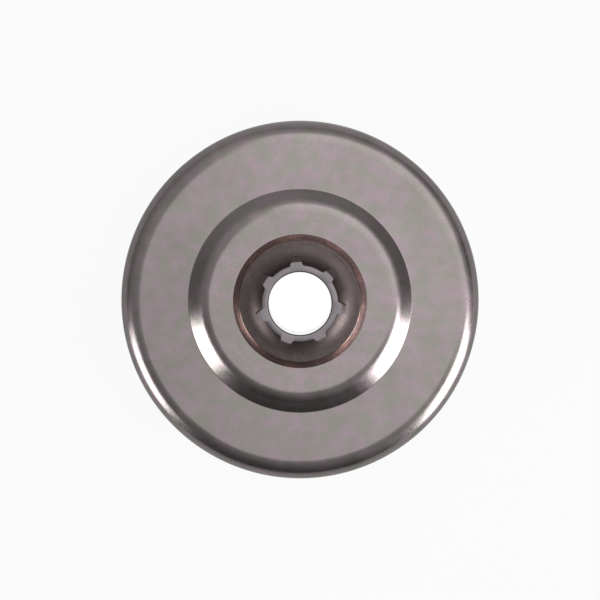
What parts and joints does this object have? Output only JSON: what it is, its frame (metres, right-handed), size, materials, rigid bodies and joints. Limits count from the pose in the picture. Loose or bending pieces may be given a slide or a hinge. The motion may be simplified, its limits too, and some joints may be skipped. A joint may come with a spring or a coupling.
{
  "type": "chainsaw clutch drum",
  "caption": "Drawn steel clutch drum for a chainsaw, open on one side, with a splined and brazed hub and a bearing bore through it.",
  "frame": {"origin": "on the drum's axis, in the plane of the open rim that it stands on", "axes": "+Z along the axis from the open rim towards the splined hub, +Y through the middle of one spline tooth"},
  "size_m": [0.075, 0.075, 0.0386],
  "materials": {
    "drawn_steel": "deep-drawn mild steel, tumbled to a fine satin grey, with a turned friction band inside",
    "hub_steel": "sintered steel, browned by the brazing furnace, with its front face ground clean",
    "copper_braze": "copper furnace braze, oxidised to dark brown"
  },
  "bodies": {
    "root": {"drum_cup": "drawn_steel", "splined_hub": "hub_steel", "braze_fillet": "copper_braze"}
  },
  "joints": []
}
